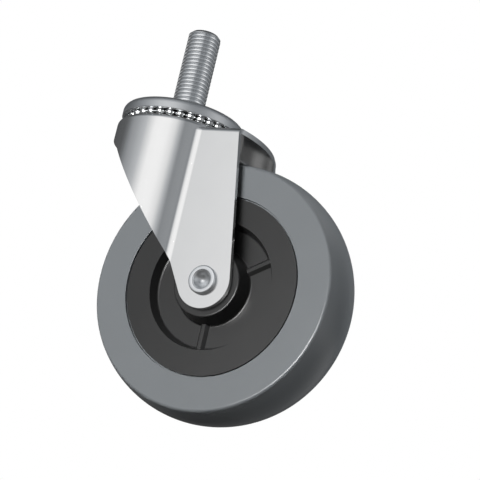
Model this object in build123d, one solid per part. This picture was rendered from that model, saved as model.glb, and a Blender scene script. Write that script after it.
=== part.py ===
from build123d import *
import math
import os

# Swivel castor with a threaded stem, a double ball race and a riveted wheel.
# Lengths are in millimetres. The origin is on the stem's axis, on the flat top
# of the upper race cap. +Z points up the stem and +X the way the wheel trails.

# Stem and king pin, turned as one piece; the stem is at its thread's outer diameter
stem_diameter = 10.0
stem_length = 28.0
stem_point_chamfer = 0.9
neck_diameter = 10.8
collar_diameter = 12.0
tenon_diameter = 9.0
pin_head_diameter = 15.0
pin_head_height = 1.9
pin_head_rim = 0.6

# Upper ball race
ball_diameter = 3.0
ball_count = 33
cap_sheet = 2.5
cap_wall = 1.2
cap_depth = 3.75
cap_shoulder = 2.1

# Lower ball race
lower_ball_diameter = 4.0
lower_ball_count = 14
lower_cup_sheet = 1.5
lower_cup_lip = 2.4
race_wall_angle = 60.0

# Pressed steel fork
fork_sheet = 1.5
skirt_radius = 19.2
crown_corner = 1.7
saddle_drop = 1.3
saddle_corner = 1.9
race_hub_rise = 2.3
race_land = 0.8
skirt_depth = 6.3
skirt_front_reach = 14.3
skirt_blend = 2.6
leg_gap = 24.8
leg_blend = 4.0
leg_front_angle = 51.6
leg_knee_reach = 11.6
leg_knee_blend = 3.0
leg_end_radius = 7.9
rear_reach = 26.55
rear_bulge = 2.3
rear_blend = 4.0

# Axle
trail = 26.1
axle_drop = 52.6
rivet_diameter = 6.0
rivet_head_diameter = 10.6
rivet_head_height = 2.1
rivet_head_rim = 0.7
rolled_base_diameter = 8.2
rolled_face_diameter = 7.2
rolled_height = 1.3
rolled_rim = 0.45
rolled_mouth_diameter = 5.3
rolled_mouth_depth = 0.9
rivet_hollow_diameter = 3.4
rivet_hollow_depth = 1.4
rivet_hollow_tip = 0.6
sleeve_diameter = 9.0

# Wheel
wheel_diameter = 75.0
tread_width = 19.9
tread_crown_radius = 26.6
tread_shoulder = 0.9
core_diameter = 51.6
core_width = 19.5
tongue_height = 2.6
tongue_width = 8.0
tongue_draft = 0.8
recess_diameter = 37.3
recess_depth = 3.15
recess_wall_draft = 1.0
recess_corner = 0.6
hub_length = 24.3
boss_diameter = 19.8
boss_draft = 1.1
boss_corner = 0.5
rib_count = 3
rib_start_angle = 30.0
rib_height = 1.0
rib_base = 2.7
rib_top = 1.0

# Clearances
ball_play = 0.02
race_play = 0.05
swivel_play = 0.5
press_play = 0.05
hub_play = 0.08
sleeve_play = 0.1

# Overrun of a cut past the sheet, and the tolerance that finds a corner by its place
tool_overrun = 3.0
same_place = 0.01


# Levels and radii that follow from the sizes above
stem_radius = stem_diameter / 2
neck_radius = neck_diameter / 2
collar_radius = collar_diameter / 2
tenon_radius = tenon_diameter / 2
race_radius = ball_diameter / 2 + race_play
lower_race_radius = lower_ball_diameter / 2 + race_play
pitch_radius = (ball_diameter + ball_play) / (2 * math.sin(math.pi / ball_count))
lower_pitch_radius = (lower_ball_diameter + ball_play) / (2 * math.sin(math.pi / lower_ball_count))
ball_level = -cap_sheet - race_radius
crown_top = ball_level - race_radius
hub_top = crown_top + race_hub_rise
lower_ball_level = hub_top - fork_sheet - lower_race_radius
cup_floor = lower_ball_level - lower_race_radius
leg_outer = leg_gap / 2 + fork_sheet
skirt_bottom = crown_top - skirt_depth
saddle_top = crown_top - saddle_drop
bend_level = saddle_top - saddle_corner
far_rear = trail + leg_end_radius + tool_overrun
far_front = -skirt_radius - tool_overrun
fork_bottom = -axle_drop - leg_end_radius - tool_overrun
wheel_radius = wheel_diameter / 2
race_wall_slope = math.radians(race_wall_angle)
axle_line = Axis((trail, 0, -axle_drop), (0, 1, 0))
wheel_plane = Plane(origin=(trail, 0, -axle_drop), x_dir=(1, 0, 0), z_dir=(0, 0, 1))


def turned(face):
    """Revolve a face drawn as (radius, height) about the stem's axis."""
    return revolve(Plane.XZ * face, Axis.Z)


def turned_on_axle(face):
    """Revolve a face drawn as (radius, distance along the axle) about the axle."""
    return revolve(wheel_plane * face, axle_line)


def bent_sheet(points, radii, thickness):
    """Section of a sheet whose middle follows straight runs joined by bends."""
    return trace(FilletPolyline(*points, radius=radii), line_width=thickness)


def dome(edge_radius, edge_level, top_level):
    """Arc of a domed head, from its rim to its middle on the axis."""
    rise = top_level - edge_level
    ball = (edge_radius ** 2 + rise ** 2) / (2 * rise)
    half = math.asin(edge_radius / abs(ball)) / 2
    middle = (abs(ball) * math.sin(half), top_level - ball * (1 - math.cos(half)))
    return ThreePointArc((edge_radius, edge_level), middle, (0, top_level))


def make_stem():
    """Threaded stem, collar between the races and peened head, in one turning."""
    tenon_end = cup_floor - lower_cup_sheet
    head_rim = tenon_end - pin_head_rim
    outline = Polyline(
        (0, stem_length),
        (stem_radius - stem_point_chamfer, stem_length),
        (stem_radius, stem_length - stem_point_chamfer),
        (stem_radius, 0),
        (neck_radius, 0),
        (neck_radius, -cap_sheet),
        (collar_radius, -cap_sheet),
        (collar_radius, cup_floor),
        (tenon_radius, cup_floor),
        (tenon_radius, tenon_end),
        (pin_head_diameter / 2, tenon_end),
        (pin_head_diameter / 2, head_rim),
    )
    head = dome(pin_head_diameter / 2, head_rim, tenon_end - pin_head_height)
    core = Line((0, tenon_end - pin_head_height), (0, stem_length))
    return turned(make_face([outline, head, core]))


def make_cap():
    """Upper race cap: a dished plate whose inner corner is the ball race."""
    outer_radius = pitch_radius + race_radius + cap_wall
    mouth_radius = pitch_radius + race_radius
    blank = turned(Pos(outer_radius / 2, -cap_depth / 2) * Rectangle(outer_radius, cap_depth))
    blank = fillet(blank.edges().group_by(Axis.Z)[-1], cap_shoulder)
    hollow = Pos(pitch_radius / 2, -cap_sheet - cap_depth / 2) * Rectangle(pitch_radius, cap_depth)
    race = Pos(pitch_radius, ball_level) * Circle(race_radius)
    mouth = Pos(mouth_radius / 2, ball_level - cap_depth / 2) * Rectangle(mouth_radius, cap_depth)
    hole = Cylinder(neck_radius + press_play, 2 * cap_depth)
    return blank - turned(hollow + race + mouth) - hole


def make_ball(diameter, radius, level, angle):
    """One ball of a ring, at an angle round the stem."""
    place = Rot(0, 0, angle) * Pos(radius, 0, level)
    return place * Sphere(diameter / 2)


def make_lower_cup():
    """Lower race cup: a soup plate that carries the lower balls in its corner."""
    middle = cup_floor - lower_cup_sheet / 2
    bend = lower_race_radius + lower_cup_sheet / 2
    corner = lower_pitch_radius + bend * math.tan(race_wall_slope / 2)
    lip_level = middle + lower_cup_lip
    lip_radius = corner + lower_cup_lip / math.tan(race_wall_slope)
    section = bent_sheet(
        [(tenon_radius + press_play, middle), (corner, middle), (lip_radius, lip_level)],
        bend,
        lower_cup_sheet,
    )
    return turned(section)


def crown_plan(inset):
    """Plan of the skirt and legs, with the hollow blend where they meet."""
    plan = Circle(skirt_radius - inset)
    plan += Pos(far_rear / 2, 0) * Rectangle(far_rear, 2 * (leg_outer - inset))
    return fillet(plan.vertices().group_by(Axis.X)[0], leg_blend + inset)


def crown_body(inset):
    """Raised round cup and flat saddle that bound the pressing, moved inwards by inset."""
    cup_top = crown_top - inset
    cup = Pos(0, 0, (cup_top + fork_bottom) / 2) * Cylinder(skirt_radius - inset, cup_top - fork_bottom)
    saddle = extrude(Pos(0, 0, fork_bottom) * crown_plan(inset), saddle_top - inset - fork_bottom)
    if not inset:
        cup = fillet(cup.edges().group_by(Axis.Z)[-1], crown_corner)
        saddle = fillet(saddle.edges().group_by(Axis.Z)[-1], saddle_corner)
    return cup + saddle


def tangent_point(point, centre, radius, side):
    """Where a line from a point touches a circle, on its left (1) or its right (-1)."""
    offset = point - centre
    turn = math.atan2(offset.Y, offset.X) + side * math.acos(radius / offset.length)
    return centre + Vector(math.cos(turn), math.sin(turn)) * radius


def leg_outline():
    """Side view of the fork: skirt rim, slanted front with a knee, round end and rear edge."""
    axle = Vector(trail, -axle_drop)
    start = Vector(-skirt_front_reach, skirt_bottom)
    knee_run = trail - leg_knee_reach - start.X
    knee = start + Vector(knee_run, -knee_run * math.tan(math.radians(leg_front_angle)))
    rear = Vector(rear_reach, bend_level)
    front_touch = tangent_point(knee, axle, leg_end_radius, 1)
    rear_touch = tangent_point(rear, axle, leg_end_radius, -1)
    blade = make_face(Polyline(
        (far_front, crown_top),
        (far_front, skirt_bottom),
        (start.X, start.Y),
        (knee.X, knee.Y),
        (front_touch.X, front_touch.Y),
        (axle.X, axle.Y),
        (rear_touch.X, rear_touch.Y),
        (rear.X, rear.Y),
        (far_rear, bend_level),
        (far_rear, crown_top),
        close=True,
    ))
    outline = blade + Pos(axle.X, axle.Y) * Circle(leg_end_radius)
    knee_corner = outline.vertices().sort_by_distance((knee.X, knee.Y))[0]
    outline = fillet(knee_corner, leg_knee_blend)
    skirt_corner = outline.vertices().sort_by_distance((start.X, start.Y))[0]
    return fillet(skirt_corner, skirt_blend)


def rear_waste():
    """Plan of what is trimmed off behind the crown, whose rear edge bulges backwards."""
    half_gap = leg_gap / 2
    edge = ThreePointArc((rear_reach, -half_gap), (rear_reach + rear_bulge, 0), (rear_reach, half_gap))
    around = Polyline(
        (rear_reach, half_gap),
        (rear_reach, skirt_radius),
        (far_rear, skirt_radius),
        (far_rear, -skirt_radius),
        (rear_reach, -skirt_radius),
        (rear_reach, -half_gap),
    )
    waste = make_face([edge, around])
    corners = [v for v in waste.vertices() if v.X < far_rear and abs(v.Y) < skirt_radius]
    return fillet(corners, rear_blend)


def make_fork():
    """Fork pressed from one sheet, with the ball races formed in its crown."""
    shell = crown_body(0) - crown_body(fork_sheet)
    shell = shell & extrude(Plane.XZ * leg_outline(), skirt_radius, both=True)
    shell = shell - extrude(Pos(0, 0, bend_level) * rear_waste(), crown_top - bend_level)
    middle = crown_top - fork_sheet / 2
    bend = race_radius + fork_sheet / 2
    land = pitch_radius + race_land
    foot = pitch_radius - bend * math.tan(race_wall_slope / 2)
    brow = foot - race_hub_rise / math.tan(race_wall_slope)
    race = turned(bent_sheet(
        [
            (land, middle),
            (foot, middle),
            (brow, middle + race_hub_rise),
            (collar_radius + swivel_play, middle + race_hub_rise),
        ],
        [bend, fork_sheet],
        fork_sheet,
    ))
    mouth = Pos(0, 0, crown_top) * Cylinder(land, 2 * (fork_sheet + tool_overrun))
    fork = shell - mouth + race
    axle_hole = Rot(90, 0, 0) * Cylinder(rivet_diameter / 2 + press_play, 2 * (leg_outer + tool_overrun))
    return fork - Pos(trail, 0, -axle_drop) * axle_hole


def make_rivet():
    """Axle rivet: domed head on the far side, rolled end with a shallow dish on the near side."""
    shank = rivet_diameter / 2
    face = -leg_outer - rolled_height
    hollow_end = face + rivet_hollow_depth
    head_rim = leg_outer + rivet_head_rim
    head_top = leg_outer + rivet_head_height
    outline = Polyline(
        (0, hollow_end + rivet_hollow_tip),
        (rivet_hollow_diameter / 2, hollow_end),
        (rivet_hollow_diameter / 2, face + rolled_mouth_depth),
        (rolled_mouth_diameter / 2, face),
        (rolled_face_diameter / 2, face),
        (rolled_base_diameter / 2, -leg_outer - rolled_rim),
        (rolled_base_diameter / 2, -leg_outer),
        (shank, -leg_outer),
        (shank, leg_outer),
        (rivet_head_diameter / 2, leg_outer),
        (rivet_head_diameter / 2, head_rim),
    )
    head = dome(rivet_head_diameter / 2, head_rim, head_top)
    core = Line((0, head_top), (0, hollow_end + rivet_hollow_tip))
    return turned_on_axle(make_face([outline, head, core]))


def make_sleeve():
    """Axle sleeve that keeps the legs apart and carries the wheel."""
    wall = (sleeve_diameter - rivet_diameter) / 2 - sleeve_play
    middle = sleeve_diameter / 2 - wall / 2
    return turned_on_axle(Pos(middle, 0) * Rectangle(wall, leg_gap))


def core_section():
    """Half section of the wheel core, as (radius, distance along the axle)."""
    bore = sleeve_diameter / 2 + hub_play
    floor = core_width / 2 - recess_depth
    half = [
        (bore, hub_length / 2),
        (boss_diameter / 2, hub_length / 2),
        (boss_diameter / 2 + boss_draft, floor),
        (recess_diameter / 2 - recess_wall_draft, floor),
        (recess_diameter / 2, core_width / 2),
        (core_diameter / 2, core_width / 2),
        (core_diameter / 2, tongue_width / 2),
        (core_diameter / 2 + tongue_height, tongue_width / 2 - tongue_draft),
    ]
    other = [(radius, -along) for radius, along in reversed(half)]
    face = make_face(Polyline(*half, *other, close=True))
    boss_edges = [v for v in face.vertices() if abs(v.X - boss_diameter / 2) < same_place]
    face = fillet(boss_edges, boss_corner)
    floor_edges = [v for v in face.vertices() if abs(abs(v.Y) - floor) < same_place]
    return fillet(floor_edges, recess_corner)


def make_core():
    """Moulded wheel core with a recess, a boss and three low ribs on each face."""
    core = turned_on_axle(core_section())
    floor = core_width / 2 - recess_depth
    inner = boss_diameter / 2
    length = recess_diameter / 2 - inner
    section = make_face(Polyline(
        (-rib_base / 2, -rib_height),
        (-rib_base / 2, 0),
        (-rib_top / 2, rib_height),
        (rib_top / 2, rib_height),
        (rib_base / 2, 0),
        (rib_base / 2, -rib_height),
        close=True,
    ))
    for side in (-1, 1):
        for index in range(rib_count):
            angle = math.radians(rib_start_angle + index * 360 / rib_count)
            radial = Vector(math.cos(angle), 0, math.sin(angle))
            outward = Vector(0, side, 0)
            start = Vector(trail, 0, -axle_drop) + radial * inner + outward * floor
            plane = Plane(origin=start, x_dir=outward.cross(radial), z_dir=radial)
            core += extrude(plane * section, length)
    return core


def make_tyre():
    """Tyre moulded round the core's rim, with a crowned tread."""
    crown_centre = wheel_radius - tread_crown_radius
    inner = core_diameter / 2
    band = Pos((inner + wheel_radius) / 2, 0) * Rectangle(wheel_radius - inner, tread_width)
    section = band & (Pos(crown_centre, 0) * Circle(tread_crown_radius))
    shoulders = [v for v in section.vertices() if v.X > inner + same_place and abs(v.Y) > same_place]
    section = fillet(shoulders, tread_shoulder)
    return turned_on_axle(section) - turned_on_axle(core_section())


def write(name, solid):
    """Save one piece under its own name."""
    solid.label = name
    export_step(solid, f"parts/{name}.step")


os.makedirs("parts", exist_ok=True)
write("threaded_stem", make_stem())
write("top_race_cap", make_cap())
write("fork", make_fork())
write("lower_race_cup", make_lower_cup())
write("axle_rivet", make_rivet())
write("axle_sleeve", make_sleeve())
write("wheel_core", make_core())
write("tyre", make_tyre())
for index in range(ball_count):
    turn = 360 / ball_count * index
    write(f"upper_ball_{index + 1:02d}", make_ball(ball_diameter, pitch_radius, ball_level, turn))
for index in range(lower_ball_count):
    turn = 360 / lower_ball_count * index
    ball = make_ball(lower_ball_diameter, lower_pitch_radius, lower_ball_level, turn)
    write(f"lower_ball_{index + 1:02d}", ball)
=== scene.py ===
import math

import bpy
from mathutils import Matrix, Vector


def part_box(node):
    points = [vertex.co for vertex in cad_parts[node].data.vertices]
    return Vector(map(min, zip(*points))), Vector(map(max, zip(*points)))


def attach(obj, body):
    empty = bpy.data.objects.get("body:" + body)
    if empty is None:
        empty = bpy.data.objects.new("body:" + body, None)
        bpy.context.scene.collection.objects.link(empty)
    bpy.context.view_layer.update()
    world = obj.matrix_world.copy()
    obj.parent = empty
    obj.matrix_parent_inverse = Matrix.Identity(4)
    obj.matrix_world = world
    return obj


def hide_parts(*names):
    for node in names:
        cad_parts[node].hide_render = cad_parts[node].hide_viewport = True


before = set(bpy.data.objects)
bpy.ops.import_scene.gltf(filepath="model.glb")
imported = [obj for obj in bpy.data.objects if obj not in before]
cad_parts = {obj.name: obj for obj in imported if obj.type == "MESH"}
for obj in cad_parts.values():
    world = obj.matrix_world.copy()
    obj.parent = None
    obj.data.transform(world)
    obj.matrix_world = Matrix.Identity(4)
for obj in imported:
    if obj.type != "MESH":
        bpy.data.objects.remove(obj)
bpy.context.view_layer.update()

# Camera. It stands below the wheel and looks up at the fork, with the castor
# leaning over in the picture as it does in the photograph.
MM = 0.001
camera_data = bpy.data.cameras.new("camera")
camera_data.sensor_width = 36
camera_data.lens = 97.6
camera = bpy.data.objects.new("camera", camera_data)
bpy.context.scene.collection.objects.link(camera)
bpy.context.scene.camera = camera
view_azimuth = math.radians(27.19)
view_rise = math.radians(14.5)
view_roll = math.radians(12.77)
camera.matrix_world = (
    Matrix.Translation(Vector((192.06, -320.79, -129.37)) * MM)
    @ Matrix.Rotation(view_azimuth, 4, "Z")
    @ Matrix.Rotation(math.pi / 2 + view_rise, 4, "X")
    @ Matrix.Rotation(view_roll, 4, "Z")
)


# Studio. A white room whose walls are light in front and dark at the sides, so
# that bright zinc shows soft bands. Five round lamps light it, the edge lamp for
# the mouldings and balls alone, and the floor is seen from above only.
def linear(hex_colour):
    """An sRGB hex colour as the linear red, green, blue and alpha that shaders take."""
    parts = [int(hex_colour[i:i + 2], 16) / 255 for i in (1, 3, 5)]
    return [p / 12.92 if p <= 0.04045 else ((p + 0.055) / 1.055) ** 2.4 for p in parts] + [1]


def add_node(tree, kind, links=None, **settings):
    """Add a node; links gives its sockets a value or another node's output."""
    node = tree.nodes.new(kind)
    for name, value in settings.items():
        setattr(node, name, value)
    for socket, value in (links or {}).items():
        if isinstance(value, bpy.types.NodeSocket):
            tree.links.new(value, node.inputs[socket])
        else:
            node.inputs[socket].default_value = value
    return node


def set_stops(ramp, stops):
    """Give a colour ramp its stops, each a position and a brightness; dark ones are a little blue."""
    elements = ramp.color_ramp.elements
    while len(elements) > 1:
        elements.remove(elements[-1])
    for index, (position, value) in enumerate(stops):
        element = elements[0] if index == 0 else elements.new(position)
        element.position = position
        blue = 0.08 * max(0, 1 - value)
        element.color = (value * (1 - blue), value, value * (1 + blue), 1)


def light_round_about(tree, place, stops):
    """Brightness by the compass direction of a place, from stops of azimuth in degrees and light."""
    split = add_node(tree, "ShaderNodeSeparateXYZ", {0: place})
    turn = add_node(tree, "ShaderNodeMath", {0: split.outputs[1], 1: split.outputs[0]}, operation="ARCTAN2")
    around = add_node(
        tree, "ShaderNodeMapRange", {0: turn.outputs[0], 1: -math.pi, 2: math.pi, 3: 0.0, 4: 1.0}
    )
    ramp = add_node(tree, "ShaderNodeValToRGB", {0: around.outputs[0]})
    set_stops(ramp, [((azimuth + 180) / 360, light) for azimuth, light in stops])
    return ramp.outputs[0]


bpy.context.scene.view_settings.view_transform = "Standard"
world = bpy.data.worlds.new("studio")
bpy.context.scene.world = world
world.use_nodes = True
tree = world.node_tree
tree.nodes.clear()
direction = add_node(tree, "ShaderNodeTexCoord")
wall_light = [
    (-180, 0.06), (-168, 0.14), (-158, 0.30), (-145, 0.40), (-129, 0.58), (-119, 0.88),
    (-110, 1.14), (-98, 1.18), (-85, 1.16), (-73, 0.95), (-65, 0.56), (-57, 0.27),
    (-45, 0.33), (-31, 0.29), (-17, 0.58), (-5, 1.00), (7, 0.95), (19, 0.57),
    (31, 0.30), (43, 0.25), (55, 0.15), (95, 0.11), (115, 0.06), (170, 0.06),
]
light_by_height = [
    (0.0, 0.18), (0.2, 0.25), (0.38, 0.8), (0.5, 1.0), (0.72, 1.0), (0.9, 0.4), (1.0, 0.3),
]
walls = light_round_about(tree, direction.outputs["Generated"], wall_light)
split = add_node(tree, "ShaderNodeSeparateXYZ", {0: direction.outputs["Generated"]})
height = add_node(
    tree, "ShaderNodeMapRange", {0: split.outputs[2], 1: -1.0, 2: 1.0, 3: 0.0, 4: 1.0}
)
levels = add_node(tree, "ShaderNodeValToRGB", {0: height.outputs[0]})
set_stops(levels, light_by_height)
room = add_node(
    tree, "ShaderNodeMix", {0: 1.0, 6: walls, 7: levels.outputs[0]},
    data_type="RGBA", blend_type="MULTIPLY",
)
rays = add_node(tree, "ShaderNodeLightPath")
seen = add_node(
    tree, "ShaderNodeMix",
    {0: rays.outputs["Is Camera Ray"], 6: room.outputs[2], 7: (1, 1, 1, 1)}, data_type="RGBA",
)
room_fill = 0.26
level = add_node(
    tree, "ShaderNodeMix", {0: rays.outputs["Is Diffuse Ray"], 2: 1.0, 3: room_fill}, data_type="FLOAT"
)
background = add_node(
    tree, "ShaderNodeBackground", {"Color": seen.outputs[2], "Strength": level.outputs[0]}
)
world.cycles.sampling_method = "NONE"
add_node(tree, "ShaderNodeOutputWorld", {"Surface": background.outputs[0]})

wheel_low, wheel_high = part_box("tyre")
wheel_centre = (wheel_low + wheel_high) / 2
lamp_distance = 0.6


def round_lamp(name, azimuth, rise, size, energy):
    """A round soft lamp that points at the wheel from an azimuth and a rise in degrees."""
    lamp_data = bpy.data.lights.new(name, "AREA")
    lamp_data.shape = "DISK"
    lamp_data.size = size
    lamp_data.energy = energy
    lamp = bpy.data.objects.new(name, lamp_data)
    bpy.context.scene.collection.objects.link(lamp)
    reach = math.cos(math.radians(rise))
    way = Vector((
        math.cos(math.radians(azimuth)) * reach,
        math.sin(math.radians(azimuth)) * reach,
        math.sin(math.radians(rise)),
    ))
    lamp.location = wheel_centre + way * lamp_distance
    lamp.rotation_mode = "QUATERNION"
    lamp.rotation_quaternion = way.to_track_quat("Z", "Y")
    return lamp


key = round_lamp("key", -97.5, 9, 0.2, 2.8)
key.visible_glossy = False
rim_lamp = round_lamp("rim lamp", 30, -5, 0.3, 0.85)
rim_lamp.visible_glossy = False
edge_lamp = round_lamp("edge lamp", -84, -20, 0.55, 28)
edge_lamp.visible_diffuse = False
edge_lit = bpy.data.collections.new("edge lit")
edge_lamp.light_linking.receiver_collection = edge_lit
top_lamp = round_lamp("top lamp", 75, 50, 0.3, 2.4)
top_lamp.visible_glossy = False
back_lamp = round_lamp("back lamp", 130, 10, 0.3, 1.8)
back_lamp.visible_glossy = False

floor_level = -0.2
floor_size = 8
bpy.ops.mesh.primitive_plane_add(size=floor_size, location=(0, 0, floor_level))
floor = bpy.context.object
floor.name = "floor"
paper = bpy.data.materials.new("white paper floor")
paper.use_nodes = True
tree = paper.node_tree
tree.nodes.clear()
rays = add_node(tree, "ShaderNodeLightPath")
place = add_node(tree, "ShaderNodeTexCoord")
# In mirror rays the floor glows; the glow is darker on the side that the arch faces, and it carries a painted
# shadow near the castor.
floor_light = [
    (-180, 0.30), (-60, 0.34), (0, 0.34), (40, 0.50), (70, 0.45),
    (98, 0.08), (135, 0.08), (150, 0.70), (170, 0.65), (180, 0.30),
]
distance = add_node(tree, "ShaderNodeVectorMath", {0: place.outputs["Object"]}, operation="LENGTH")
# Painted shadow: the floor's mirrored glow dims to a tenth close under the castor and is full again three
# quarters of a metre out.
castor_painted_shadow = add_node(
    tree, "ShaderNodeMapRange",
    {0: distance.outputs["Value"], 1: 0.25, 2: 0.75, 3: 0.1, 4: 1.0},
)
lit_floor = add_node(
    tree, "ShaderNodeMath",
    {0: light_round_about(tree, place.outputs["Object"], floor_light), 1: castor_painted_shadow.outputs[0]},
    operation="MULTIPLY",
)
mirrored = add_node(
    tree, "ShaderNodeMath", {0: rays.outputs["Is Glossy Ray"], 1: lit_floor.outputs[0]}, operation="MULTIPLY"
)
white = add_node(
    tree, "ShaderNodeMix", {0: rays.outputs["Is Camera Ray"], 2: mirrored.outputs[0], 3: 0.97},
    data_type="FLOAT",
)
matte = add_node(tree, "ShaderNodeBsdfDiffuse", {"Color": linear("#4a4a4a")})
glow = add_node(tree, "ShaderNodeEmission", {"Color": (1, 1, 1, 1), "Strength": white.outputs[0]})
both = add_node(tree, "ShaderNodeAddShader", {0: matte.outputs[0], 1: glow.outputs[0]})
side = add_node(tree, "ShaderNodeNewGeometry")
clear = add_node(tree, "ShaderNodeBsdfTransparent")
one_sided = add_node(
    tree, "ShaderNodeMixShader", {0: side.outputs["Backfacing"], 1: both.outputs[0], 2: clear.outputs[0]}
)
add_node(tree, "ShaderNodeOutputMaterial", {"Surface": one_sided.outputs[0]})
floor.data.materials.append(paper)


# Threaded stem and king pin. It is one steel turning with a rolled metric
# thread, pressed through the top cap and peened over under the lower cup.
def start_material(name):
    """An empty material with its node tree and its principled shader."""
    material = bpy.data.materials.new(name)
    material.use_nodes = True
    tree = material.node_tree
    tree.nodes.clear()
    shader = add_node(tree, "ShaderNodeBsdfPrincipled")
    add_node(tree, "ShaderNodeOutputMaterial", {"Surface": shader.outputs[0]})
    return material, tree, shader


def zinc_plate(name, hex_colour, roughness):
    """Bright zinc electroplate: a cool mirror whose passivated film scatters a little light."""
    material, tree, shader = start_material(name)
    place = add_node(tree, "ShaderNodeTexCoord")
    cloud = add_node(
        tree, "ShaderNodeTexNoise",
        {"Vector": place.outputs["Object"], "Scale": 1 / (6 * MM), "Detail": 4.0},
    )
    tone = add_node(tree, "ShaderNodeMapRange", {0: cloud.outputs[0], 1: 0.3, 2: 0.7, 3: 0.99, 4: 1.01})
    tint = add_node(
        tree, "ShaderNodeVectorMath", {0: linear(hex_colour)[:3], 3: tone.outputs[0]}, operation="SCALE"
    )
    shine = add_node(
        tree, "ShaderNodeMapRange",
        {0: cloud.outputs[0], 1: 0.3, 2: 0.7, 3: roughness - 0.005, 4: roughness + 0.005},
    )
    grain = add_node(
        tree, "ShaderNodeTexNoise",
        {"Vector": place.outputs["Object"], "Scale": 1 / (0.35 * MM), "Detail": 2.0},
    )
    bump = add_node(
        tree, "ShaderNodeBump", {"Strength": 0.01, "Distance": 0.02 * MM, "Height": grain.outputs[0]}
    )
    tree.links.new(tint.outputs[0], shader.inputs["Base Color"])
    tree.links.new(shine.outputs[0], shader.inputs["Roughness"])
    tree.links.new(bump.outputs[0], shader.inputs["Normal"])
    shader.inputs["Metallic"].default_value = 0.9
    return material


def clear_selection():
    """Leave nothing selected, so that an operator acts on its own piece alone."""
    bpy.ops.object.select_all(action="DESELECT")


def turned_piece(name, outline, steps, smooth_angle):
    """Turn an outline of (radius, height) points about Z: points are extruded, then spun."""
    clear_selection()
    bpy.ops.mesh.primitive_plane_add(size=MM)
    piece = bpy.context.object
    piece.name = name
    bpy.ops.object.mode_set(mode="EDIT")
    bpy.ops.mesh.merge(type="CENTER")
    bpy.ops.transform.translate(value=(outline[0][0], 0, outline[0][1]))
    for (r0, z0), (r1, z1) in zip(outline, outline[1:]):
        bpy.ops.mesh.extrude_region_move(TRANSFORM_OT_translate={"value": (r1 - r0, 0, z1 - z0)})
    bpy.ops.mesh.select_all(action="SELECT")
    bpy.ops.mesh.spin(steps=steps, angle=2 * math.pi, center=(0, 0, 0), axis=(0, 0, 1))
    bpy.ops.mesh.select_all(action="SELECT")
    bpy.ops.mesh.remove_doubles(threshold=0.001 * MM)
    bpy.ops.mesh.normals_make_consistent(inside=False)
    bpy.ops.object.mode_set(mode="OBJECT")
    bpy.ops.object.shade_smooth_by_angle(angle=math.radians(smooth_angle))
    return piece


stem_low, stem_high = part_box("threaded_stem")
cap_low, cap_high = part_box("top_race_cap")
cup_low, cup_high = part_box("lower_race_cup")
thread_radius = 5 * MM
thread_pitch = 1.25 * MM
thread_depth = 0.62 * MM
rows_per_pitch = 16
point_chamfer = 0.9 * MM
neck_radius = 5.4 * MM
collar_radius = 6 * MM
tenon_radius = 4.5 * MM
head_radius = stem_high.x - stem_low.x
row = thread_pitch / rows_per_pitch
row_count = int(stem_high.z / row)
crest_flatness = 4
run_out_start = 0.6 * MM
head_rim_height = 0.6 * MM
head_rim = cup_low.z - head_rim_height
head_rise = head_rim - stem_low.z
head_ball = (head_radius ** 2 + head_rise ** 2) / (2 * head_rise)
head_half = math.asin(head_radius / head_ball)
cup_sheet = 1.5 * MM
cup_floor = cup_low.z + cup_sheet
cap_underside = -2.5 * MM
outline = [
    (head_ball * math.sin(a), stem_low.z + head_ball * (1 - math.cos(a)))
    for a in [head_half * i / 8 for i in range(9)]
]
outline += [(head_radius, cup_low.z), (tenon_radius, cup_low.z), (tenon_radius, cup_floor)]
outline += [(collar_radius, cup_floor), (collar_radius, cap_underside), (neck_radius, cap_underside)]
outline += [(neck_radius, 0), (thread_radius, 0)]
outline += [(thread_radius, row * (index + 1)) for index in range(row_count)]
outline += [(thread_radius, stem_high.z), (0, stem_high.z)]
stem = turned_piece("threaded_stem_turning", outline, 96, 40)


def thread_radius_at(angle, height):
    """Radius of the rolled thread: broad rounded crests, narrow roots, and a run-out at the cap."""
    turns = height / thread_pitch - angle / (2 * math.pi)
    off_crest = abs(turns - round(turns)) * 2
    fade = min(1, max(0, (height - run_out_start) / thread_pitch))
    crest = thread_radius - thread_depth * fade * off_crest ** crest_flatness
    point = thread_radius - (height - (stem_high.z - point_chamfer))
    return min(crest, point)


for vertex in stem.data.vertices:
    x, y, z = vertex.co
    radius = math.hypot(x, y)
    if z > 0.01 * MM and radius > 0.9 * thread_radius:
        wanted = thread_radius_at(math.atan2(y, x), z)
        vertex.co = (x / radius * wanted, y / radius * wanted, z)
# Fine and bright, so that each thread crest catches its own glint.
stem_zinc = zinc_plate("bright_zinc_on_rolled_steel", "#e0e2e4", 0.14)
stem.data.materials.append(stem_zinc)
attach(stem, "mounting")
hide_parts("threaded_stem")


# Top race cap. It is pressed and hardened steel, zinc plated, with the ball
# track in its inner corner, and the stem is pressed through its middle.
def arc(centre, radius, start, end, steps):
    """Points of an arc in (radius, height), with its angles in degrees."""
    turns = [math.radians(start + (end - start) * i / steps) for i in range(steps + 1)]
    return [(centre[0] + radius * math.cos(a), centre[1] + radius * math.sin(a)) for a in turns]


def soften(piece, width, segments=2, angle=35):
    """Round the sharp edges and keep broad faces flat in the reflections."""
    clear_selection()
    bpy.context.view_layer.objects.active = piece
    piece.select_set(True)
    bpy.ops.object.modifier_add(type="BEVEL")
    bevel = piece.modifiers[-1]
    bevel.width = width
    bevel.segments = segments
    bevel.limit_method = "ANGLE"
    bevel.angle_limit = math.radians(angle)
    bpy.ops.object.modifier_apply(modifier=bevel.name)
    bpy.ops.object.shade_smooth_by_angle(angle=math.radians(angle))
    bpy.ops.object.modifier_add(type="WEIGHTED_NORMAL")
    weighted = piece.modifiers[-1]
    weighted.keep_sharp = True
    bpy.ops.object.modifier_apply(modifier=weighted.name)


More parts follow.
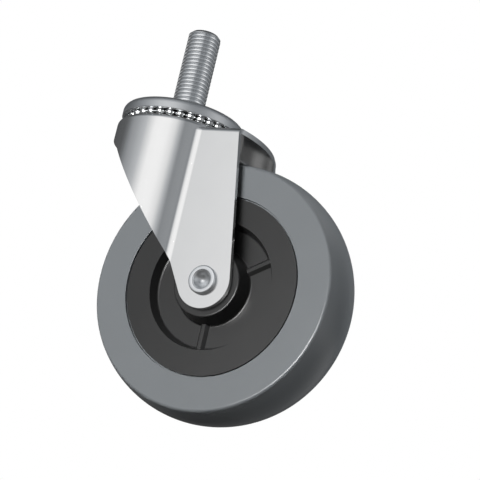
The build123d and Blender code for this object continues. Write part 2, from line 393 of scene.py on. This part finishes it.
ball_low, ball_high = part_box("upper_ball_01")
ball_level = (ball_low.z + ball_high.z) / 2
race_play = 0.05 * MM
race_radius = (ball_high.z - ball_low.z) / 2 + race_play
pitch_radius = (ball_low.x + ball_high.x) / 2
cap_radius = cap_high.x
cap_shoulder = 2.1 * MM
track_start = math.degrees(math.asin((cap_low.z - ball_level) / race_radius))
outline = [(neck_radius, 0)]
outline += arc((cap_radius - cap_shoulder, -cap_shoulder), cap_shoulder, 90, 0, 12)
outline += [(cap_radius, cap_low.z)]
outline += arc((pitch_radius, ball_level), race_radius, track_start, 90, 10)
outline += [(neck_radius, cap_underside), (neck_radius, 0)]
cap = turned_piece("race_cap_pressing", outline, 160, 30)
soften(cap, 0.12 * MM)
# Softer than the fork: the rounded shoulder shows one broad glow, not a picture of the room.
race_zinc = zinc_plate("bright_zinc_on_pressed_steel", "#ccced0", 0.4)
cap.data.materials.append(race_zinc)
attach(cap, "mounting")
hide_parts("top_race_cap")


# Ball races. Two rings of loose, polished bearing balls run above and below
# the fork's hub, and a pressed cup carries the lower ring.
def finish_node(node, material):
    """Give a CAD node its finish in place of the one it was loaded with."""
    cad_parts[node].data.materials.clear()
    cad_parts[node].data.materials.append(material)


# Ground and polished steel: each ball shows a small bright glint with a dark surround.
polished, tree, shader = start_material("polished_bearing_steel")
place = add_node(tree, "ShaderNodeTexCoord")
film = add_node(tree, "ShaderNodeTexNoise", {"Vector": place.outputs["Object"], "Scale": 1 / (0.8 * MM)})
shine = add_node(tree, "ShaderNodeMapRange", {0: film.outputs[0], 3: 0.2, 4: 0.26})
shader.inputs["Base Color"].default_value = linear("#b6b7b8")
shader.inputs["Metallic"].default_value = 1.0
tree.links.new(shine.outputs[0], shader.inputs["Roughness"])
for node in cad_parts:
    if "_ball_" in node:
        finish_node(node, polished)
        edge_lit.objects.link(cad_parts[node])
finish_node("lower_race_cup", race_zinc)


# Fork. It is one pressing of zinc-plated sheet: a round skirt, a vaulted crown
# with the ball tracks formed in it, and two flat legs that hold the axle.
def dressed_copy(name, node, edge_radius, segments=2, angle=35):
    """A copy of a CAD node with its triangles merged and its sharp edges rounded."""
    clear_selection()
    piece = bpy.data.objects.new(name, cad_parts[node].data.copy())
    bpy.context.scene.collection.objects.link(piece)
    bpy.context.view_layer.objects.active = piece
    piece.select_set(True)
    bpy.ops.mesh.customdata_custom_splitnormals_clear()
    bpy.ops.object.mode_set(mode="EDIT")
    bpy.ops.mesh.select_all(action="SELECT")
    bpy.ops.mesh.remove_doubles(threshold=0.001 * MM)
    bpy.ops.mesh.dissolve_limited(angle_limit=math.radians(0.3))
    bpy.ops.object.mode_set(mode="OBJECT")
    piece.data.materials.clear()
    soften(piece, edge_radius, segments, angle)
    return piece


fork = dressed_copy("fork_pressing", "fork", 0.18 * MM)
# The clearest plate: the round skirt shows long light and dark bands, the leg an even pale face.
fork_zinc = zinc_plate("bright_zinc_on_sheet_steel", "#e0e0e0", 0.1)
fork.data.materials.append(fork_zinc)
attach(fork, "fork_body")
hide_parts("fork")


# Axle. A steel rivet holds the legs on a drawn steel sleeve; its far end has
# a domed head, and its near end is rolled over, with a shallow dish, in the press.
def onto_axle(piece):
    """Turn a piece from the Z axis onto the axle, its height going along +Y."""
    piece.data.transform(Matrix.Translation(wheel_centre) @ Matrix.Rotation(-math.pi / 2, 4, "X"))


rivet_low, rivet_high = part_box("axle_rivet")
leg_outer = 13.9 * MM
shank_radius = 3 * MM
roll_radius = 4.1 * MM
roll_face = rivet_low.y
mouth_radius = 2.65 * MM
mouth_edge = 0.3 * MM
roll_edge = 0.5 * MM
far_radius = (rivet_high.x - rivet_low.x) / 2
far_rim_height = 0.7 * MM
far_rim = leg_outer + far_rim_height
far_rise = rivet_high.y - far_rim
far_ball = (far_radius ** 2 + far_rise ** 2) / (2 * far_rise)
far_half = math.asin(far_radius / far_ball)
# The dish as (radius, depth) in millimetres.
dish = [
    (0, 2.0), (0.6, 1.92), (1.2, 1.62), (1.65, 1.2), (1.95, 0.8), (2.25, 0.45), (2.5, 0.2),
]
outline = [(radius * MM, roll_face + depth * MM) for radius, depth in dish]
outline += arc((mouth_radius + mouth_edge, roll_face + mouth_edge), mouth_edge, 210, 270, 4)
outline += arc((roll_radius - roll_edge, roll_face + roll_edge), roll_edge, 270, 345, 5)
outline += [(roll_radius, -leg_outer), (shank_radius, -leg_outer), (shank_radius, leg_outer)]
outline += [(far_radius, leg_outer)]
outline += [
    (far_ball * math.sin(a), rivet_high.y - far_ball * (1 - math.cos(a)))
    for a in [far_half * i / 8 for i in range(8, -1, -1)]
]
rivet = turned_piece("axle_rivet_turning", outline, 96, 50)
onto_axle(rivet)
soften(rivet, 0.06 * MM)
# Rougher where the press closed it: the rolled ring glows softly round a darker dish.
rivet.data.materials.append(zinc_plate("bright_zinc_on_cold_headed_steel", "#e2e4e6", 0.28))
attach(rivet, "fork_body")
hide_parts("axle_rivet")
finish_node("axle_sleeve", stem_zinc)


# Wheel core. It is a black plastic moulding with a hub, a dished face and
# three low ribs on each side; the tyre is moulded round its rim.
def moulded(name, hex_colour, roughness, gloss, grain_size, grain_height):
    """A moulded surface: the colour is even and a fine tool texture breaks the gloss."""
    material, tree, shader = start_material(name)
    place = add_node(tree, "ShaderNodeTexCoord")
    cloud = add_node(
        tree, "ShaderNodeTexNoise", {"Vector": place.outputs["Object"], "Scale": 1 / (9 * MM), "Detail": 3.0}
    )
    tone = add_node(tree, "ShaderNodeMapRange", {0: cloud.outputs[0], 1: 0.3, 2: 0.7, 3: 0.99, 4: 1.01})
    tint = add_node(
        tree, "ShaderNodeVectorMath", {0: linear(hex_colour)[:3], 3: tone.outputs[0]}, operation="SCALE"
    )
    shine = add_node(
        tree, "ShaderNodeMapRange",
        {0: cloud.outputs[0], 1: 0.3, 2: 0.7, 3: roughness - 0.01, 4: roughness + 0.01},
    )
    grain = add_node(
        tree, "ShaderNodeTexNoise", {"Vector": place.outputs["Object"], "Scale": 1 / grain_size, "Detail": 2.0}
    )
    bump = add_node(
        tree, "ShaderNodeBump", {"Strength": 0.25, "Distance": grain_height, "Height": grain.outputs[0]}
    )
    tree.links.new(tint.outputs[0], shader.inputs["Base Color"])
    tree.links.new(shine.outputs[0], shader.inputs["Roughness"])
    tree.links.new(bump.outputs[0], shader.inputs["Normal"])
    shader.inputs["Specular IOR Level"].default_value = gloss
    return material


# Plain black plastic: flat faces read dark grey, with thin soft lines of light on the edges.
core = dressed_copy("wheel_core_moulding", "wheel_core", 0.3 * MM, 3)
core.data.materials.append(moulded("moulded_black_plastic", "#303030", 0.3, 0.26, 0.3 * MM, 0.002 * MM))
edge_lit.objects.link(core)
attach(core, "wheel_body")
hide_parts("wheel_core")


# Tyre. It is smooth grey rubber moulded round the core, with a crowned tread
# and round shoulders. A fine groove parts its side from the core's rim.
tyre_half = wheel_high.y
tyre_radius = wheel_high.x - wheel_centre.x
rim_radius = 25.8 * MM
crown_radius = 26.6 * MM
shoulder = 0.9 * MM
crown_centre = tyre_radius - crown_radius
shoulder_height = tyre_half - shoulder
shoulder_radius = crown_centre + math.sqrt((crown_radius - shoulder) ** 2 - shoulder_height ** 2)
shoulder_angle = math.degrees(math.atan2(shoulder_height, shoulder_radius - crown_centre))
lip_gap = 0.45 * MM
lip_depth = 1.0 * MM
outline = [(rim_radius, lip_depth - tyre_half), (rim_radius + lip_gap, lip_depth - tyre_half)]
outline += [(rim_radius + lip_gap, -tyre_half)]
outline += arc((shoulder_radius, -shoulder_height), shoulder, -90, -shoulder_angle, 10)
outline += arc((crown_centre, 0), crown_radius, -shoulder_angle, shoulder_angle, 16)[1:-1]
outline += arc((shoulder_radius, shoulder_height), shoulder, shoulder_angle, 90, 10)
outline += [(rim_radius + lip_gap, tyre_half), (rim_radius + lip_gap, tyre_half - lip_depth)]
outline += [(rim_radius, tyre_half - lip_depth), (rim_radius, lip_depth - tyre_half)]
tyre = turned_piece("tyre_moulding", outline, 400, 35)
onto_axle(tyre)
soften(tyre, 0.06 * MM)
# Satin grey rubber: an even side face, and a tread that falls off to dark round its crown.
tyre.data.materials.append(moulded("smooth_grey_rubber", "#84888b", 0.25, 0.24, 0.4 * MM, 0.002 * MM))
edge_lit.objects.link(tyre)
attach(tyre, "wheel_body")
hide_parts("tyre")
